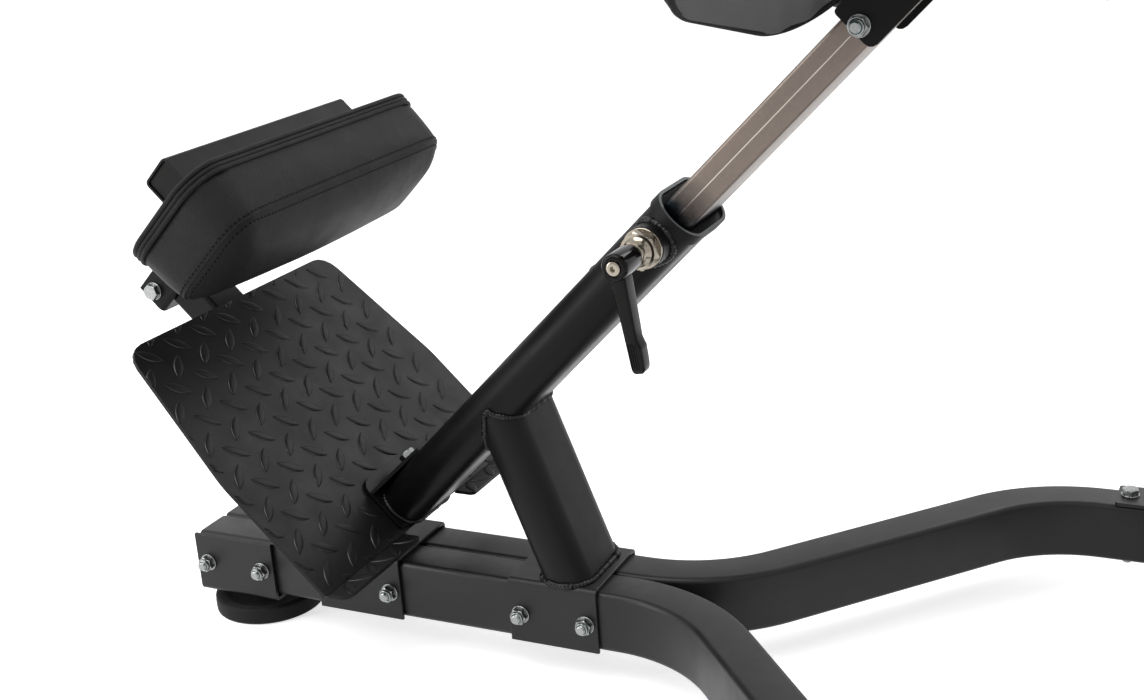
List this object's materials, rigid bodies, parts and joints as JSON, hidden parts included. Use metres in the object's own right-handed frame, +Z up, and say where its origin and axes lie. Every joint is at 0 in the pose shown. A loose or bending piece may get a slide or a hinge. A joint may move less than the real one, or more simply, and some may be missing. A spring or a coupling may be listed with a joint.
{
  "type": "back extension bench",
  "caption": "Steel 45 degree back extension bench with a treaded foot plate, a padded calf rest and padded hip rests on a post that slides in a clamped, sloping tube.",
  "frame": {"origin": "on the floor, under the middle of the bench's length, on its middle plane", "axes": "+X towards the hip pads and the wide front of the base, +Z up, -Y the user's right side, where the clamp is"},
  "size_m": [1.2206, 0.79, 0.9692],
  "materials": {
    "black_steel": "satin black powder coat",
    "zinc": "bright zinc plate",
    "aluminium": "satin extruded, scuffed where it slides",
    "nickel": "bright nickel plate",
    "gloss_black": "gloss black",
    "plastic": "matt black",
    "rubber": "matt black",
    "vinyl": "black leatherette over foam",
    "board_cover": "grey black backing cover stretched over a board"
  },
  "bodies": {
    "frame": {"leg_right": "black_steel", "leg_left": "black_steel", "rear_bracket": "black_steel", "mid_saddle": "black_steel", "strut_saddle": "black_steel", "rear_bolt_back": "zinc", "rear_bolt_front": "zinc", "mid_bolt_back": "zinc", "mid_bolt_front": "zinc", "strut_bolt_back": "zinc", "strut_bolt_front": "zinc", "front_cross_tube": "black_steel", "front_cap_right": "plastic", "front_cap_left": "plastic", "tongue_bolt_right_1": "zinc", "tongue_bolt_right_2": "zinc", "tongue_bolt_left_1": "zinc", "tongue_bolt_left_2": "zinc", "rear_foot": "rubber", "rear_foot_stem": "zinc", "front_foot_right": "rubber", "front_foot_right_stem": "zinc", "front_foot_left": "rubber", "front_foot_left_stem": "zinc", "main_tube": "black_steel", "collar": "plastic", "strut": "black_steel", "stop_screw": "black_steel", "clamp_boss": "black_steel", "clamp_body": "nickel", "foot_plate": "black_steel", "tab": "black_steel", "tab_bolt": "zinc", "arm": "black_steel", "arm_prop": "black_steel", "calf_bracket": "black_steel", "calf_bolt_1": "zinc", "calf_bolt_2": "zinc", "calf_bar": "black_steel", "calf_cross_tube": "black_steel", "calf_cap_right": "plastic", "calf_cap_left": "plastic", "calf_board": "board_cover", "calf_pad": "vinyl"},
    "hip_carriage": {"post": "aluminium", "post_plug": "plastic", "hip_bracket_right": "black_steel", "hip_bracket_left": "black_steel", "hip_bolt_1": "zinc", "hip_bolt_2": "zinc", "hip_board_right": "board_cover", "hip_board_left": "board_cover", "hip_pad_right": "vinyl", "hip_pad_left": "vinyl", "handle_bar": "black_steel", "grip_right": "rubber", "grip_left": "rubber"},
    "pressure_pad": {"clamp_pad": "plastic"},
    "clamp_screw": {"clamp_lever": "gloss_black", "clamp_spindle": "nickel"}
  },
  "joints": [
    {"name": "hip_slide", "type": "slide", "parent": "frame", "child": "hip_carriage", "axis": [0.7071, 0, 0.7071], "range_m": [-0.19, 0.125]},
    {"name": "clamp_feed", "type": "slide", "parent": "frame", "child": "pressure_pad", "axis": [0, -1, 0], "range_m": [0, 0.0036]},
    {"name": "clamp_turn", "type": "hinge", "parent": "pressure_pad", "child": "clamp_screw", "pos_m": [0.02877, 0, 0.49028], "axis": [0, -1, 0], "range_deg": [0, 720]}
  ],
  "couplings": [
    {"joint": "clamp_feed", "follows": "clamp_turn", "m_per_rad": 0.00027852}
  ]
}
